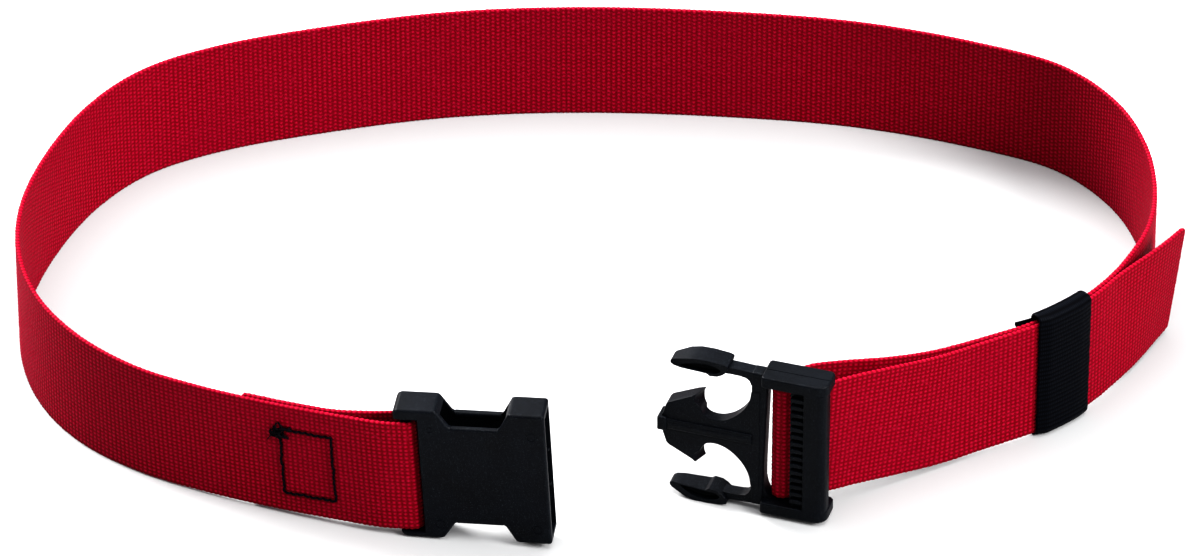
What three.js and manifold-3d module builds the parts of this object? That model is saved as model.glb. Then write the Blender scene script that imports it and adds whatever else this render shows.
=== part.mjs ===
// Luggage strap: 50 mm webbing with a side-release buckle, a ladder-lock adjuster and a keeper loop.
// The strap stands on its edges as an open loop, buckle unfastened in front.
// Millimetres, +Z up, origin at the centre of the footprint on the floor.
import * as THREE from "three";
import { mergeVertices } from "three/addons/utils/BufferGeometryUtils.js";
import Module from "manifold-3d";

const wasm = await Module();
wasm.setup();

// Webbing
const WEB_WIDTH = 50;
const WEB_THICK = 1.8;
const GAP = 0.3;
const LAYER = WEB_THICK + GAP;

// Centre line of the main strap in plan, from the socket's bar round the back to the keeper's arc
const MAIN_RUN = [
  [-71.1, -136.9],
  [-81, -135.3],
  [-97, -130],
  [-123, -120.5],
  [-150, -109],
  [-174, -96],
  [-196, -77],
  [-212, -53],
  [-221, -24],
  [-222, 8],
  [-214, 44],
  [-198, 80],
  [-178, 104],
  [-150, 120],
  [-110, 133],
  [-60, 144],
  [-8, 147.5],
  [50, 144.5],
  [102, 137],
  [148, 122.5],
  [181, 106],
  [201, 81],
  [211, 52],
  [213.5, 20],
  [209.5, -6],
];
// The two layers run as concentric arcs where the keeper rides
const KEEPER_CENTRE = [106, 17.5];
const INNER_RADIUS = 105;
const OUTER_RADIUS = INNER_RADIUS + LAYER;
// From the arc's left end to the adjuster, and from the adjuster back to the arc
const INNER_RUN = [
  [134, -85.5],
  [119, -91.8],
  [104, -97],
  [90, -101],
  [78, -105.4],
];
const OUTER_RUN = [
  [97, -110],
  [111, -102.2],
  [127, -93.4],
  [141, -85.3],
];
const TAIL_LENGTH = 44;

// Places along the main strap, measured from the socket's bar
const LEAN = THREE.MathUtils.degToRad(2.5);
const TAIL_LEAN = THREE.MathUtils.degToRad(7);
const SOCKET_LIFT = 3.4;
const SOCKET_LIFT_RUN = 154;
const KEEPER_LIFT = 1.7;

// Socket half of the buckle: X from the webbing bar to the mouth, Y through it, Z across the strap
const SOCKET = {
  length: 57,
  rise: 2,
  barWidth: 60,
  mouthWidth: 60.6,
  thick: 12.5,
  wall: 2,
  side: 2.4,
  barX: 4.2,
  barY: 5,
  barRadius: 2.4,
  frameEnd: 9.3,
  windowDepth: 8,
};

// Plug half: X from the front of the rails to the end bar, prongs towards -X
const PLUG = {
  place: [59.5, -123.8, 32.75],
  yaw: THREE.MathUtils.degToRad(-18.4),
  width: 62.4,
  thick: 12.7,
  rail: 4.8,
  length: 25.8,
  barX: 6.8,
  barY: 8,
  barRadius: 2.2,
  enter: 157,
  leave: 305.5,
};
// Outline of the centre tongue from its tip to the cross-bar, upper half
const TONGUE = [
  [-40.6, 2.4],
  [-39.4, 3],
  [-37.6, 8.8],
  [-36.6, 9.8],
  [-27, 14.4],
  [-23.6, 15.6],
  [-24.3, 13.8],
  [-24.3, 10.4],
  [-23.2, 7.6],
  [-21.6, 6.1],
  [-19, 5.6],
  [-16.5, 5.9],
  [-12, 7.8],
  [-7.6, 11.9],
  [-5, 16.5],
  [-4.4, 21],
];
// Side outline of a prong's head, outside edge first, and its arm
const PRONG_HEAD = [
  [-36, 27],
  [-35.2, 28.4],
  [-30, 31],
  [-25, 32.2],
  [-20, 32.7],
  [-14.6, 32],
  [-13.2, 31.2],
  [-13.6, 28.6],
  [-17.4, 26.3],
  [-20.6, 25.9],
  [-21.8, 26.5],
  [-35, 26.2],
];
const PRONG_ROOT = -4.9;
const ARM_INSIDE = 27;
const ARM_OUTSIDE = 30.2;
const PLUG_LIFT = PLUG.place[2] - WEB_WIDTH / 2 - 0.5;
const TEETH = 15;
const TOOTH_PITCH = 3.3;

// Keeper loop
const KEEPER_WIDTH = 25;
const KEEPER_THICK = 1.1;
const KEEPER_ANGLE = -50.3;
// Box stitch: from and to along the strap from the bar, and its bottom and top about mid height
const STITCH = [29, 49.5, -15.9, 14];
const THREAD = 1.1;
const SEWN_END = 66;

const webbingRed = new THREE.MeshStandardMaterial({ color: 0xb80d1c, roughness: 0.85, metalness: 0 });
const threadBlack = new THREE.MeshStandardMaterial({ color: 0x14141a, roughness: 0.8, metalness: 0 });
const ribbonBlack = new THREE.MeshStandardMaterial({ color: 0x101216, roughness: 0.75, metalness: 0 });
const plasticBlack = new THREE.MeshStandardMaterial({ color: 0x15181c, roughness: 0.5, metalness: 0 });

const model = new THREE.Group();

function addMesh(name, geometry, material, parent = model) {
  const mesh = new THREE.Mesh(geometry, material);
  mesh.name = name;
  parent.add(mesh);
  return mesh;
}

// Closed mesh to solid and back
function toSolid(geometry) {
  const bare = geometry.clone();
  bare.deleteAttribute("normal");
  bare.deleteAttribute("uv");
  const merged = mergeVertices(bare, 1e-4);
  return new wasm.Manifold(
    new wasm.Mesh({
      numProp: 3,
      vertProperties: Float32Array.from(merged.attributes.position.array),
      triVerts: Uint32Array.from(merged.index.array),
    }),
  );
}

function toGeometry(solid) {
  const mesh = solid.getMesh();
  const geometry = new THREE.BufferGeometry();
  geometry.setAttribute("position", new THREE.BufferAttribute(mesh.vertProperties, 3));
  geometry.setIndex(new THREE.BufferAttribute(mesh.triVerts, 1));
  geometry.computeVertexNormals();
  return geometry;
}

function box(x0, x1, y0, y1, z0, z1) {
  const geometry = new THREE.BoxGeometry(x1 - x0, y1 - y0, z1 - z0);
  geometry.translate((x0 + x1) / 2, (y0 + y1) / 2, (z0 + z1) / 2);
  return toSolid(geometry);
}

// A flat outline in X and Z, given thickness along Y
function slab(points, y0, y1) {
  const shape = new THREE.Shape(points.map(([x, z]) => new THREE.Vector2(x, z)));
  const geometry = new THREE.ExtrudeGeometry(shape, { depth: y1 - y0, bevelEnabled: false });
  geometry.rotateX(Math.PI / 2);
  geometry.translate(0, y1, 0);
  return toSolid(geometry);
}

// An upright column: a flat outline in X and Y, given height along Z
function column(points, z0, z1) {
  const shape = new THREE.Shape(points.map(([x, y]) => new THREE.Vector2(x, y)));
  const geometry = new THREE.ExtrudeGeometry(shape, { depth: z1 - z0, bevelEnabled: false });
  geometry.translate(0, 0, z0);
  return toSolid(geometry);
}

function round(cx, cy, radius, sides = 20) {
  return Array.from({ length: sides }, (_, i) => {
    const a = (2 * Math.PI * i) / sides;
    return [cx + radius * Math.cos(a), cy + radius * Math.sin(a)];
  });
}

// A rectangle in X and Z with rounded corners
function roundedRect(x0, x1, z0, z1, r, steps = 4) {
  const points = [];
  const corners = [
    [x1 - r, z0 + r, -90],
    [x1 - r, z1 - r, 0],
    [x0 + r, z1 - r, 90],
    [x0 + r, z0 + r, 180],
  ];
  for (const [cx, cz, start] of corners) {
    for (let i = 0; i <= steps; i++) {
      const a = THREE.MathUtils.degToRad(start + (90 * i) / steps);
      points.push([cx + r * Math.cos(a), cz + r * Math.sin(a)]);
    }
  }
  return points;
}

// A smooth open curve through plan points, as evenly spaced points about `step` apart
function smooth(points, step) {
  const curve = new THREE.CatmullRomCurve3(
    points.map(([x, y]) => new THREE.Vector3(x, y, 0)),
    false,
    "centripetal",
  );
  const count = Math.ceil(curve.getLength() / step);
  curve.arcLengthDivisions = 2000;
  curve.updateArcLengths();
  return curve.getSpacedPoints(count).map((p) => [p.x, p.y]);
}

function arc(centre, radius, from, to, steps) {
  return Array.from({ length: steps + 1 }, (_, i) => {
    const a = THREE.MathUtils.degToRad(from + ((to - from) * i) / steps);
    return [centre[0] + radius * Math.cos(a), centre[1] + radius * Math.sin(a)];
  });
}

function ease(t) {
  const u = Math.min(1, Math.max(0, t));
  return u * u * (3 - 2 * u);
}

// Stations along a strap: its centre at mid height, its tangent, its width and its outward direction
function stations(points, liftAt, leanAt) {
  const lengths = [0];
  for (let i = 1; i < points.length; i++) {
    const dx = points[i][0] - points[i - 1][0];
    const dy = points[i][1] - points[i - 1][1];
    lengths.push(lengths[i - 1] + Math.hypot(dx, dy));
  }
  const total = lengths[lengths.length - 1];
  const mids = points.map(([x, y], i) => {
    const s = lengths[i];
    return new THREE.Vector3(x, y, liftAt(s, total) + (WEB_WIDTH / 2) * Math.cos(leanAt(s, total)));
  });
  return mids.map((mid, i) => {
    const before = mids[Math.max(0, i - 1)];
    const after = mids[Math.min(mids.length - 1, i + 1)];
    const tangent = after.clone().sub(before).normalize();
    const side = new THREE.Vector3(tangent.y, -tangent.x, 0).normalize();
    const lean = leanAt(lengths[i], total);
    const width = new THREE.Vector3(0, 0, Math.cos(lean)).addScaledVector(side, Math.sin(lean));
    width.addScaledVector(tangent, -width.dot(tangent)).normalize();
    const across = new THREE.Vector3().crossVectors(tangent, width).normalize();
    return { s: lengths[i], mid, tangent, width, across };
  });
}

// The station at distance s, between its two neighbours
function stationAt(line, s) {
  let i = 1;
  while (i < line.length - 1 && line[i].s < s) i++;
  const a = line[i - 1];
  const b = line[i];
  const t = (s - a.s) / (b.s - a.s);
  const mix = (key) => a[key].clone().lerp(b[key], t);
  return {
    s,
    mid: mix("mid"),
    tangent: mix("tangent").normalize(),
    width: mix("width").normalize(),
    across: mix("across").normalize(),
  };
}

function cut(line, from, to) {
  const inside = line.filter((p) => p.s > from + 0.8 && p.s < to - 0.8);
  return [stationAt(line, from), ...inside, stationAt(line, to)];
}

// A closed strip through stations, between two heights and two offsets across it
function strip(line, low, high, back, front) {
  const corners = [
    [low, back],
    [low, front],
    [high, front],
    [high, back],
  ];
  const position = [];
  for (const p of line) {
    for (const [h, o] of corners) {
      const v = p.mid.clone().addScaledVector(p.width, h).addScaledVector(p.across, o);
      position.push(v.x, v.y, v.z);
    }
  }
  const index = [];
  for (let i = 0; i + 1 < line.length; i++) {
    for (let k = 0; k < 4; k++) {
      const a = 4 * i + k;
      const b = 4 * i + ((k + 1) % 4);
      index.push(a, b, b + 4, a, b + 4, a + 4);
    }
  }
  const last = 4 * (line.length - 1);
  index.push(0, 2, 1, 0, 3, 2);
  index.push(last, last + 1, last + 2, last, last + 2, last + 3);
  const geometry = new THREE.BufferGeometry();
  geometry.setAttribute("position", new THREE.Float32BufferAttribute(position, 3));
  geometry.setIndex(index);
  return outward(geometry);
}

// Turns every face over if the mesh encloses a negative volume
function outward(geometry) {
  const p = geometry.attributes.position;
  const index = geometry.index.array;
  const [a, b, c] = [new THREE.Vector3(), new THREE.Vector3(), new THREE.Vector3()];
  let volume = 0;
  for (let i = 0; i < index.length; i += 3) {
    a.fromBufferAttribute(p, index[i]);
    b.fromBufferAttribute(p, index[i + 1]);
    c.fromBufferAttribute(p, index[i + 2]);
    volume += a.dot(b.cross(c));
  }
  if (volume < 0) {
    for (let i = 0; i < index.length; i += 3) {
      const swap = index[i + 1];
      index[i + 1] = index[i + 2];
      index[i + 2] = swap;
    }
  }
  geometry.computeVertexNormals();
  return geometry;
}

function web(line, from, to) {
  const half = WEB_WIDTH / 2;
  return strip(cut(line, from, to), -half, half, -WEB_THICK / 2, WEB_THICK / 2);
}

// An upright piece bent round the keeper's arc: radii, angles in degrees and heights
function bent(r0, r1, a0, a1, z0, z1) {
  const steps = Math.max(2, Math.ceil((a1 - a0) / 2));
  const near = arc(KEEPER_CENTRE, r1, a0, a1, steps);
  const far = arc(KEEPER_CENTRE, r0, a1, a0, steps);
  return column([...near, ...far], z0, z1);
}

const mirrorZ = (points) => points.map(([x, z]) => [x, -z]).reverse();

// ---------------------------------------------------------------- main strap
const plugFrame = new THREE.Matrix4().makeRotationZ(PLUG.yaw).setPosition(...PLUG.place);
const plugPlan = (x, y) => {
  const v = new THREE.Vector3(x, y, 0).applyMatrix4(plugFrame);
  return [v.x, v.y];
};
const LOOP_RADIUS = PLUG.barRadius + GAP + WEB_THICK / 2;
const loopPoint = (angle, ahead = 0) => {
  const a = THREE.MathUtils.degToRad(angle);
  const x = PLUG.barX + LOOP_RADIUS * Math.cos(a) - ahead * Math.sin(a);
  const y = PLUG.barY + LOOP_RADIUS * Math.sin(a) + ahead * Math.cos(a);
  return plugPlan(x, y);
};

const innerArc = arc(KEEPER_CENTRE, INNER_RADIUS, -27, -66, 18);
const intoLoop = [loopPoint(PLUG.enter, -4), loopPoint(PLUG.enter)];
const mainPoints = smooth(
  [...MAIN_RUN, ...innerArc.filter((_, i) => i % 3 === 0), ...INNER_RUN, ...intoLoop],
  4,
);

// The strap's edge rises towards the socket, lies on the floor at the back and rises to the adjuster
function mainLift(s, total) {
  const left = total - s;
  const fromSocket = Math.max(0, 1 - s / SOCKET_LIFT_RUN);
  const toKeeper = KEEPER_LIFT * (1 - ease((left - 150) / 68));
  return SOCKET_LIFT * fromSocket ** 2 + toKeeper + (PLUG_LIFT - KEEPER_LIFT) * (1 - ease(left / 72));
}

function mainLean(s) {
  return -LEAN * (1 - ease((s - 95) / 60));
}

const main = stations(mainPoints, mainLift, mainLean);
const mainLength = main[main.length - 1].s;
const LEFT_FLEX = main.reduce((best, p) => (p.mid.x < best.mid.x ? p : best)).s;
const RIGHT_FLEX = main.filter((p) => p.s > 600).reduce((best, p) => (p.mid.x > best.mid.x ? p : best)).s;

addMesh("strap_back", web(main, LEFT_FLEX + GAP / 2, RIGHT_FLEX - GAP / 2), webbingRed);
addMesh("strap_left_run", web(main, GAP / 2, LEFT_FLEX - GAP / 2), webbingRed);
addMesh("strap_right_run", web(main, RIGHT_FLEX + GAP / 2, mainLength - 2 * GAP), webbingRed);

// ---------------------------------------------------------------- fold round the socket's bar
const bar = main[0];
const socketX = bar.tangent.clone().negate();
const socketY = bar.across.clone();
const socketZ = bar.width.clone();
const FOLD_RADIUS = SOCKET.barRadius + GAP + WEB_THICK / 2;
const socketOrigin = bar.mid
  .clone()
  .addScaledVector(socketX, -SOCKET.barX)
  .addScaledVector(socketY, FOLD_RADIUS - SOCKET.barY)
  .addScaledVector(socketZ, SOCKET.rise);

// Round the bar and back along the inside of the strap, closing up to lie against it
const fold = [];
for (let angle = -90; angle < 90; angle += 15) {
  const a = THREE.MathUtils.degToRad(angle);
  const mid = socketOrigin
    .clone()
    .addScaledVector(socketX, SOCKET.barX + FOLD_RADIUS * Math.cos(a))
    .addScaledVector(socketY, SOCKET.barY + FOLD_RADIUS * Math.sin(a))
    .addScaledVector(socketZ, -SOCKET.rise);
  const across = socketX.clone().multiplyScalar(Math.cos(a)).addScaledVector(socketY, Math.sin(a));
  const tangent = new THREE.Vector3().crossVectors(socketZ, across);
  fold.push({ s: FOLD_RADIUS * (a + Math.PI / 2), mid, tangent, width: socketZ, across });
}
const foldLength = Math.PI * FOLD_RADIUS;
for (const p of cut(main, 0, SEWN_END)) {
  const open = (2 * FOLD_RADIUS - LAYER) * (1 - ease(p.s / 34));
  const mid = p.mid.clone().addScaledVector(p.across, LAYER + open);
  fold.push({ ...p, s: p.s + foldLength, mid });
}
addMesh("strap_sewn_end", web(fold, GAP / 2, foldLength + SEWN_END), webbingRed);

// A rectangle of thread lying on one face of a strap
function threadBox(line, from, to, low, high, inside, outside) {
  const whole = toSolid(strip(cut(line, from, to), low, high, inside, outside));
  const inner = cut(line, from + THREAD, to - THREAD);
  const hole = toSolid(strip(inner, low + THREAD, high - THREAD, inside - 1, outside + 1));
  return toGeometry(whole.subtract(hole));
}
const face = WEB_THICK / 2 + GAP;
const [stitchFrom, stitchTo, stitchLow, stitchHigh] = STITCH;
addMesh(
  "box_stitch_front",
  threadBox(main, stitchFrom, stitchTo, stitchLow, stitchHigh, -face - 0.5, -face),
  threadBlack,
);
addMesh(
  "box_stitch_back",
  threadBox(fold, stitchFrom + foldLength, stitchTo + foldLength, stitchLow, stitchHigh, face, face + 0.5),
  threadBlack,
);

// ---------------------------------------------------------------- socket
const socket = new THREE.Group();
socket.position.copy(socketOrigin);
socket.quaternion.setFromRotationMatrix(new THREE.Matrix4().makeBasis(socketX, socketY, socketZ));
model.add(socket);

function socketShell() {
  const half = (x) => (SOCKET.barWidth + ((SOCKET.mouthWidth - SOCKET.barWidth) * x) / SOCKET.length) / 2;
  const edge = [
    [0, half(0) - 2],
    [2, half(2)],
    [15.5, half(15.5)],
    [21, half(21) - SOCKET.windowDepth],
    [39, half(39) - SOCKET.windowDepth],
    [44, half(44)],
    [SOCKET.length, half(SOCKET.length)],
  ];
  const inside = half(0) - SOCKET.side;
  const end = SOCKET.length + 1;
  const { wall, thick, frameEnd } = SOCKET;
  let shell = slab([...edge, ...mirrorZ(edge)].reverse(), 0, thick);
  shell = shell.subtract(box(frameEnd + wall, end, wall, thick - wall, -inside, inside));
  const openLow = -WEB_WIDTH / 2 - SOCKET.rise - 0.7;
  const openHigh = WEB_WIDTH / 2 + 0.6;
  shell = shell.subtract(box(-1, frameEnd, -1, thick + 1, openLow, openHigh));
  const bar = round(SOCKET.barX, SOCKET.barY, SOCKET.barRadius);
  shell = shell.add(column(bar, openLow - 0.5, openHigh + 0.5));
  return toGeometry(shell);
}
addMesh("socket_shell", socketShell(), plasticBlack, socket);

// ---------------------------------------------------------------- plug
const plug = new THREE.Group();
plug.applyMatrix4(plugFrame);
model.add(plug);

function plugBody() {
  const { width, thick, rail, length } = PLUG;
  const top = width / 2;
  const inner = top - rail;
  const railPlan = roundedRect(0, length, 0, thick, 2.5);
  let body = column(railPlan, inner, top).add(column(railPlan, -top, -inner));
  // Cross-bar, webbing bar and the tongue with its arrow-shaped wings
  body = body.add(box(-4.6, 0.6, 3.3, 9.3, -ARM_OUTSIDE, ARM_OUTSIDE));
  body = body.add(column(round(PLUG.barX, PLUG.barY, PLUG.barRadius), -inner - 0.5, inner + 0.5));
  const tongue = [...TONGUE, [0, 21]];
  body = body.add(slab([...tongue, ...mirrorZ(tongue)], 3, 8));
  const wing = TONGUE.slice(0, 8);
  body = body.add(slab([...wing, ...mirrorZ(wing)], 2.9, 9.4));
  body = body.add(box(-40.6, -4.4, 2.2, 5, -2.4, 2.4));
  // End bar with the toothed recess beside it
  const endBar = [
    [12, 5],
    [11.1, 4.1],
    [11.1, 2.4],
    [12.2, 1.9],
    [16, 1.9],
    [16.6, 0],
    [length - 1.5, 0],
    [length, 1.5],
    [length, 6.4],
    [15, 6.4],
    [12.6, 5.6],
  ];
  body = body.add(column(endBar, -inner - 0.5, inner + 0.5));
  const tooth = [
    [11.8, 2.6],
    [11.8, 0.7],
    [15.6, 0.3],
    [16.8, 0.3],
    [16.8, 2.6],
  ];
  for (let i = 0; i < TEETH; i++) {
    const z = (i - (TEETH - 1) / 2) * TOOTH_PITCH;
    body = body.add(column(tooth, z - 0.85, z + 0.85));
  }
  return toGeometry(body);
}
addMesh("plug_frame", plugBody(), plasticBlack, plug);

function prong(side) {
  const turn = (points) => (side > 0 ? points : mirrorZ(points));
  const head = slab(turn(PRONG_HEAD), 1.8, 10.8);
  const armOutline = [
    [-15, ARM_INSIDE],
    [PRONG_ROOT, ARM_INSIDE],
    [PRONG_ROOT, ARM_OUTSIDE],
    [-15, ARM_OUTSIDE],
  ];
  const pocket = [
    [-32, 27.6],
    [-25.5, 30.6],
    [-20, 31.2],
    [-18, 28],
  ];
  return toGeometry(head.add(slab(turn(armOutline), 3.8, 8.8)).subtract(slab(turn(pocket), 1, 4.6)));
}
addMesh("plug_prong_upper", prong(1), plasticBlack, plug);
addMesh("plug_prong_lower", prong(-1), plasticBlack, plug);

// ---------------------------------------------------------------- fold round the adjuster, outer layer and tail
const loopArc = [];
for (let i = 0; i <= 12; i++) {
  loopArc.push(loopPoint(PLUG.enter + ((PLUG.leave - PLUG.enter) * i) / 12));
}
const outOfLoop = [loopPoint(PLUG.leave), loopPoint(PLUG.leave, 7), loopPoint(PLUG.leave, 15)];
const outerArc = arc(KEEPER_CENTRE, OUTER_RADIUS, -63.5, -33, 15);
const bend = THREE.MathUtils.degToRad(-33);
const tailPoint = (ahead, out) => [
  outerArc[15][0] - ahead * Math.sin(bend) + out * Math.cos(bend),
  outerArc[15][1] + ahead * Math.cos(bend) + out * Math.sin(bend),
];
const tailMid = tailPoint(TAIL_LENGTH / 2, 1.5);
const tailEnd = tailPoint(TAIL_LENGTH, 1.5);
const outerPoints = smooth(
  [...outOfLoop, ...OUTER_RUN, ...outerArc.filter((_, i) => i % 3 === 0), tailMid, tailEnd],
  4,
);
const outerLine = [...loopArc.slice(0, -1), ...outerPoints];
const outer = stations(
  outerLine,
  (s) => KEEPER_LIFT + (PLUG_LIFT - KEEPER_LIFT) * (1 - ease((s - 14) / 72)),
  (s, total) => TAIL_LEAN * ease((s - total + 46) / 46),
);
const outerLength = outer[outer.length - 1].s;
const LOOP_END = 26;
const TAIL_START = outerLength - TAIL_LENGTH - 12;
addMesh("strap_adjuster_loop", web(outer, GAP / 2, LOOP_END - GAP / 2), webbingRed);
addMesh("strap_outer_run", web(outer, LOOP_END + GAP / 2, TAIL_START - GAP / 2), webbingRed);
addMesh("strap_tail", web(outer, TAIL_START + GAP / 2, outerLength), webbingRed);

// ---------------------------------------------------------------- keeper
const half = THREE.MathUtils.radToDeg(KEEPER_WIDTH / 2 / OUTER_RADIUS);
const [a0, a1] = [KEEPER_ANGLE - half, KEEPER_ANGLE + half];
const low = KEEPER_LIFT - GAP;
const high = KEEPER_LIFT + WEB_WIDTH + 2 + GAP;
const near = OUTER_RADIUS + WEB_THICK / 2 + GAP;
const far = INNER_RADIUS - WEB_THICK / 2 - GAP;
const band = bent(far - KEEPER_THICK, near + KEEPER_THICK, a0, a1, low - KEEPER_THICK, high + KEEPER_THICK);
addMesh("keeper_band", toGeometry(band.subtract(bent(far, near, a0 - 1, a1 + 1, low, high))), ribbonBlack);
// The ribbon's end lies over its start on the inside, sewn at two places, with one corner poking out
const lapFace = far - KEEPER_THICK - GAP;
const lap = bent(lapFace - 1, lapFace, a0 + 0.4, a1 - 0.4, 11, 46);
const corner = bent(lapFace - 1, lapFace, a0 - 5, a0 + 3, 44, 52.6);
addMesh("keeper_lap", toGeometry(lap.add(corner)), ribbonBlack);
const tackFace = lapFace - 1 - GAP;
addMesh("keeper_tack_low", toGeometry(bent(tackFace - 0.5, tackFace, a0 + 1, a1 - 1, 15, 16.4)), threadBlack);
addMesh("keeper_tack_high", toGeometry(bent(tackFace - 0.5, tackFace, a0 + 1, a1 - 1, 38, 39.4)), threadBlack);

// The footprint's centre goes to the origin and the lowest edge to the floor
const bounds = new THREE.Box3().setFromObject(model, true);
const centre = bounds.getCenter(new THREE.Vector3());
model.position.set(-centre.x, -centre.y, -bounds.min.z);

export default model;
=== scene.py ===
"""A webbing luggage strap that stands as an open loop: 50 mm red webbing, a side-release buckle and a keeper.

Lengths in the design are millimetres, and meshes are turned to metres when they are placed in the row frame.
"""

import math

import bmesh
import bpy
import numpy as np
from mathutils import Matrix, Vector


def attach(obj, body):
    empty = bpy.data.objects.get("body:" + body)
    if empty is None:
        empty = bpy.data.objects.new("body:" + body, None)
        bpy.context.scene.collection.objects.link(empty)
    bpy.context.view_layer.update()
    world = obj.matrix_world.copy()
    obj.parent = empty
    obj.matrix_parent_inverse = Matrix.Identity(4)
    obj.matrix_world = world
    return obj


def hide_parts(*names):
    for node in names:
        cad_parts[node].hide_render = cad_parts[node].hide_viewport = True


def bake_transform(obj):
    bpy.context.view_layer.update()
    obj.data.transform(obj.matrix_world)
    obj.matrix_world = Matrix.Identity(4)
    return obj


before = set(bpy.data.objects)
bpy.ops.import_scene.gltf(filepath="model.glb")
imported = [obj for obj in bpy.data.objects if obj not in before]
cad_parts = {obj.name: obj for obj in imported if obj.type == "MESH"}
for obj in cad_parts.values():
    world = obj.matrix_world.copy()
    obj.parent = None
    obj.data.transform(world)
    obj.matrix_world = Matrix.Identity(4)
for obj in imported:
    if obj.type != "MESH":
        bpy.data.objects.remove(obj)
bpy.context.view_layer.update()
MM = 0.001
rng = np.random.RandomState(50)

# ------------------------------------------------------------------ camera
camera_data = bpy.data.cameras.new("camera")
camera_data.sensor_width = 36
camera_data.lens = 270
camera_data.clip_start = 0.1
camera_data.clip_end = 50
camera = bpy.data.objects.new("camera", camera_data)
camera.location = (-0.0004, -2.8359, 2.0075)
camera.rotation_euler = (math.radians(55), 0, 0)
bpy.context.scene.collection.objects.link(camera)
bpy.context.scene.camera = camera

# ------------------------------------------------------------------ design of the strap's path
WEB_WIDTH = 50
WEB_THICK = 1.8
GAP = 0.3
LAYER = WEB_THICK + GAP
SHIFT = np.array([-0.449, -0.834, 0])
MAIN_RUN = [
    (-71.1, -136.9), (-81, -135.3), (-97, -130), (-123, -120.5), (-150, -109), (-174, -96),
    (-196, -77), (-212, -53), (-221, -24), (-222, 8), (-214, 44), (-198, 80), (-178, 104),
    (-150, 120), (-110, 133), (-60, 144), (-8, 147.5), (50, 144.5), (102, 137), (148, 122.5),
    (181, 106), (201, 81), (211, 52), (213.5, 20), (209.5, -6),
]  # fmt: skip
KEEPER_CENTRE = (106, 17.5)
INNER_RADIUS = 105
OUTER_RADIUS = INNER_RADIUS + LAYER
INNER_RUN = [(134, -85.5), (119, -91.8), (104, -97), (90, -101), (78, -105.4)]
OUTER_RUN = [(97, -110), (111, -102.2), (127, -93.4), (141, -85.3)]
TAIL_LENGTH = 44
LEAN = math.radians(2.5)
TAIL_LEAN = math.radians(7)
SOCKET_LIFT, SOCKET_LIFT_RUN = 3.4, 154
KEEPER_LIFT = 1.7
PLUG_PLACE = (59.5, -123.8, 32.75)
PLUG_YAW = math.radians(-18.4)
PLUG_LIFT = PLUG_PLACE[2] - WEB_WIDTH / 2 - 0.5
PLUG_BAR = (6.8, 8.0)
PLUG_BAR_RADIUS = 2.2
LOOP_ENTER, LOOP_LEAVE = 157, 305.5
LOOP_RADIUS = PLUG_BAR_RADIUS + GAP + WEB_THICK / 2
SOCKET_RISE = 2
SOCKET_BAR = (4.2, 5.0)
SOCKET_BAR_RADIUS = 2.4
FOLD_RADIUS = SOCKET_BAR_RADIUS + GAP + WEB_THICK / 2
SEWN_END = 66
KEEPER_ANGLE = -50.3
STITCH_FROM, STITCH_TO, STITCH_LOW, STITCH_HIGH = 29, 49.5, -15.9, 14
SEAM = 512  # where the two halves of the webbing meet, at the middle of the back
CURVE_STEPS = 80  # points on each span of a smooth curve before they are spaced evenly


def ease(t):
    u = np.clip(t, 0, 1)
    return u * u * (3 - 2 * u)


def unit(v):
    return v / np.linalg.norm(v, axis=-1, keepdims=True)


def smooth(points, step):
    """Evenly spaced points on a centripetal Catmull-Rom curve through plan points."""
    p = np.array(points, float)
    p = np.vstack([2 * p[0] - p[1], p, 2 * p[-1] - p[-2]])
    t = np.linspace(0, 1, CURVE_STEPS, endpoint=False)[:, None]
    cube = np.array([[v**3] for v in t[:, 0].tolist()])  # one at a time, so that every run rounds alike
    out = []
    for p0, p1, p2, p3 in zip(p[:-3], p[1:-2], p[2:-1], p[3:]):
        d0, d1, d2 = (math.sqrt(math.dist(a, b)) for a, b in ((p0, p1), (p1, p2), (p2, p3)))
        t1 = ((p1 - p0) / d0 - (p2 - p0) / (d0 + d1) + (p2 - p1) / d1) * d1
        t2 = ((p2 - p1) / d1 - (p3 - p1) / (d1 + d2) + (p3 - p2) / d2) * d1
        out.append(p1 + t1 * t + (3 * (p2 - p1) - 2 * t1 - t2) * t**2 + (2 * (p1 - p2) + t1 + t2) * cube)
    out = np.vstack(out + [p[-2:-1]])
    s = np.concatenate([[0], np.cumsum(np.linalg.norm(np.diff(out, axis=0), axis=1))])
    even = np.linspace(0, s[-1], int(math.ceil(s[-1] / step)) + 1)
    return np.stack([np.interp(even, s, out[:, i]) for i in (0, 1)], axis=1)


def arc(centre, radius, start, stop, steps):
    a = np.radians(np.linspace(start, stop, steps + 1))
    return np.stack([centre[0] + radius * np.cos(a), centre[1] + radius * np.sin(a)], axis=1)


class Line:
    """Places along a strap: distance, centre at mid height, and the directions up its width and across it."""

    def __init__(self, s, mid, width, across):
        self.s, self.mid, self.width, self.across = s, mid, width, across

    def at(self, s):
        pick = lambda key: np.stack([np.interp(s, self.s, key[:, i]) for i in range(3)], axis=-1)
        return pick(self.mid), unit(pick(self.width)), unit(pick(self.across))

    def point(self, s, up, out):
        mid, width, across = self.at(s)
        return mid + width * np.asarray(up)[..., None] + across * np.asarray(out)[..., None]


def stations(plan, lift, lean):
    s = np.concatenate([[0], np.cumsum(np.linalg.norm(np.diff(plan, axis=0), axis=1))])
    tilt = lean(s, s[-1])
    mid = np.column_stack([plan, lift(s, s[-1]) + WEB_WIDTH / 2 * np.cos(tilt)])
    tangent = unit(np.vstack([mid[1] - mid[0], mid[2:] - mid[:-2], mid[-1] - mid[-2]]))
    side = unit(np.stack([tangent[:, 1], -tangent[:, 0], 0 * s], axis=1))
    width = side * np.sin(tilt)[:, None] + np.array([0, 0, 1.0]) * np.cos(tilt)[:, None]
    width = unit(width - tangent * np.sum(width * tangent, axis=1)[:, None])
    return Line(s, mid + SHIFT, width, unit(np.cross(tangent, width)))


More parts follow.
